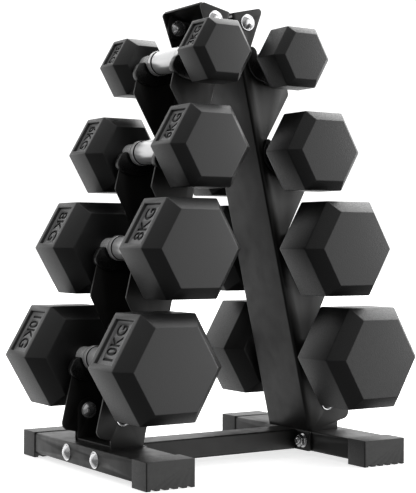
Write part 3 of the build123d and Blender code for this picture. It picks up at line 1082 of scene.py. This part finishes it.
    def turned_handle(self) -> Mesh:
        """Turns the handle: necks, end rings with a groove beside them, and a swelling grip."""
        inner = self.ring_outer - self.ring_length
        grip_end = inner - self.groove_length
        half = [
            (self.handle_length / 2 + self.overlap, self.neck),
            (self.ring_outer + self.shadow_length, self.neck),
            (self.ring_outer + self.neck_fillet, self.neck),
            (self.ring_outer, self.neck + self.neck_fillet),
            *((self.ring_outer - along * MM, self.ring - down * MM) for along, down in RING_SECTION),
            (inner + self.ring_chamfer, self.ring),
            (inner, self.ring - self.ring_chamfer),
            (inner, self.groove),
            (grip_end, self.groove),
            (grip_end, self.grip_end - self.grip_chamfer),
        ]
        swell = []
        for n in range(self.grip_steps + 1):
            along = 1 - n / (self.grip_steps / 2)
            at_end = n in (0, self.grip_steps)
            y = grip_end * along - math.copysign(self.grip_chamfer, along) * at_end
            gain = (self.grip_middle - self.grip_end) * (1 - (y / grip_end) ** 2)
            swell.append((y, self.grip_end + gain))
        stations = half + swell + [(-y, r) for y, r in reversed(half)]
        obj = lathe([(-y, r) for y, r in stations], self.steps)
        shade(obj, self.crisp_angle)
        finishes = self.shop.finishes
        for finish in (finishes.handle, finishes.groove, finishes.neck):
            obj.data.materials.append(finish)
        slack = 0.1 * MM
        for face in obj.data.polygons:
            y = abs(face.center.y)
            in_groove = grip_end - slack < y < inner + slack
            shadow_end = self.ring_outer + self.shadow_length
            on_shoulder = self.ring_outer - self.shoulder < y < shadow_end
            # Painted shade in the groove and on the ring's shoulder.
            if in_groove or on_shoulder:
                face.material_index = SHADOW
            # Painted highlight on the neck.
            elif y > self.ring_outer:
                face.material_index = NECK_HIGHLIGHT
            else:
                face.material_index = METAL
        return obj

    def build(self) -> None:
        """Makes the pieces once, then copies them to both uprights."""
        front = self.blank()
        rear = own_copy(front, "rear head blank")
        place_mesh(rear, Matrix.Diagonal((1, -1, 1, 1)))
        heads = {End.FRONT: front, End.REAR: rear}
        for end, head in heads.items():
            self.engrave(head, end)
        handle = self.turned_handle()
        for side in Side:
            body = f"{side.name.lower()}_dumbbell_{self.level}"
            place = Matrix.Translation(self.middle(side))
            grip = own_copy(handle, f"{body}_turned_handle")
            place_mesh(grip, place)
            self.shop.hand_over(grip, body, "handle_chrome", None, f"{body}_handle")
            for end in End:
                turn = Matrix.Identity(4) if side is Side.LEFT else Matrix.Rotation(math.pi, 4, "Z")
                maker = heads[end if side is Side.LEFT else End(-end.value)]
                name = f"{body}_{end.name.lower()}_head"
                head = own_copy(maker, f"{name}_moulded")
                place_mesh(head, place @ turn)
                if side is Side.RIGHT:
                    head.data.materials[SKIN] = self.shop.finishes.rubber[Grain.COARSE]
                self.shop.hand_over(head, body, "rubber_heads", None, name)
        for blank in (front, rear, handle):
            bpy.data.objects.remove(blank, do_unlink=True)


# ---------------------------------------------------------------- the studio


@dataclass(frozen=True)
class Glow:
    """One soft patch of light in the surroundings.

    It has its full strength up to the inner angle from its direction, in
    degrees, and fades to nothing at the outer angle.
    """

    towards: tuple
    inner: float
    outer: float
    strength: float


@dataclass
class Studio:
    """Pale floor, surroundings with soft patches of light, and the camera.

    The patches and the camera's place were fitted to the photo.
    """

    finishes: Finishes
    floor_size: float = 14.0
    floor_gap: float = 0.5 * MM
    camera_place: tuple = (-0.8990, -1.3902, 0.2645)
    camera_azimuth: float = -32.65
    camera_tilt: float = -0.02
    camera_roll: float = 0.16
    lens: float = 97.44
    shift: tuple = (0.0057, -0.0014)
    backdrop: float = 1.3
    ambient: float = 0.16
    glows: tuple = (
        Glow((0.62, 0.78, 0.00), 26, 60, 0.95),
        Glow((-0.27, 0.84, 0.47), 12, 55, 1.0),
        Glow((-0.30, 0.80, -0.52), 6, 48, 0.62),
        Glow((0.54, 0.25, 0.80), 14, 42, 4.0),
        Glow((0.54, -0.84, 0.00), 16, 62, 1.5),
        Glow((-0.60, -0.10, 0.80), 20, 60, 0.30),
        Glow((0.93, -0.05, 0.23), 10, 26, 4.5),
    )

    def lay_floor(self) -> None:
        """Lays the floor plane under the rack."""
        deselect()
        bpy.ops.mesh.primitive_plane_add(size=self.floor_size, location=(0, 0, -self.floor_gap))
        floor = bpy.context.object
        floor.name = "studio_floor"
        floor.data.materials.append(self.finishes.floor)
        floor.visible_glossy = False
        floor.visible_diffuse = False

    def light_world(self) -> None:
        """Surrounds the scene with patches of soft light; the camera sees plain white."""
        world = bpy.data.worlds.new("studio")
        bpy.context.scene.world = world
        world.use_nodes = True
        tree = world.node_tree
        tree.nodes.clear()
        output = tree.nodes.new("ShaderNodeOutputWorld")
        light = tree.nodes.new("ShaderNodeBackground")
        light.inputs["Color"].default_value = WHITE
        seen = tree.nodes.new("ShaderNodeBackground")
        seen.inputs["Color"].default_value = WHITE
        seen.inputs["Strength"].default_value = self.backdrop
        sky = tree.nodes.new("ShaderNodeTexCoord").outputs["Generated"]
        level = tree.nodes.new("ShaderNodeValue").outputs[0]
        level.default_value = self.ambient
        for glow in self.glows:
            facing = tree.nodes.new("ShaderNodeVectorMath")
            facing.operation = "DOT_PRODUCT"
            facing.inputs[1].default_value = Vector(glow.towards).normalized()
            fade = tree.nodes.new("ShaderNodeMapRange")
            fade.interpolation_type = "SMOOTHSTEP"
            fade.inputs["From Min"].default_value = math.cos(math.radians(glow.outer))
            fade.inputs["From Max"].default_value = math.cos(math.radians(glow.inner))
            fade.inputs["To Max"].default_value = glow.strength
            both = tree.nodes.new("ShaderNodeMath")
            tree.links.new(sky, facing.inputs[0])
            tree.links.new(facing.outputs["Value"], fade.inputs["Value"])
            tree.links.new(fade.outputs["Result"], both.inputs[0])
            tree.links.new(level, both.inputs[1])
            level = both.outputs[0]
        tree.links.new(level, light.inputs["Strength"])
        path = tree.nodes.new("ShaderNodeLightPath")
        mix = tree.nodes.new("ShaderNodeMixShader")
        tree.links.new(path.outputs["Is Camera Ray"], mix.inputs[0])
        tree.links.new(light.outputs[0], mix.inputs[1])
        tree.links.new(seen.outputs[0], mix.inputs[2])
        tree.links.new(mix.outputs[0], output.inputs["Surface"])

    def set_camera(self) -> None:
        """Sets the camera as it was fitted to the photo."""
        data = bpy.data.cameras.new("camera")
        data.lens = self.lens
        data.sensor_width = 36.0
        data.shift_x, data.shift_y = self.shift
        camera = bpy.data.objects.new("camera", data)
        turn = Matrix.Rotation(math.radians(self.camera_azimuth), 4, "Z")
        tilt = Matrix.Rotation(math.radians(90 + self.camera_tilt), 4, "X")
        roll = Matrix.Rotation(math.radians(self.camera_roll), 4, "Z")
        camera.matrix_world = Matrix.Translation(self.camera_place) @ turn @ tilt @ roll
        bpy.context.scene.collection.objects.link(camera)
        bpy.context.scene.camera = camera

    def build(self) -> None:
        """Sets up the floor, the light, the camera and the plain colour transform."""
        self.lay_floor()
        self.light_world()
        self.set_camera()
        bpy.context.scene.view_settings.view_transform = "Standard"


def main() -> None:
    """Builds the loaded rack around the frame."""
    logging.basicConfig(level=logging.INFO, format="%(message)s")
    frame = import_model()
    shop = Workshop(frame, Finishes())
    SteelFrame(shop).build()
    Mouldings(shop).build()
    Fasteners(shop).build()
    for level, weight, sizes in HEAD_SIZES:
        Dumbbell(shop, level, weight, *(size * MM for size in sizes)).build()
    Studio(shop.finishes).build()


if __name__ == "__main__":
    main()
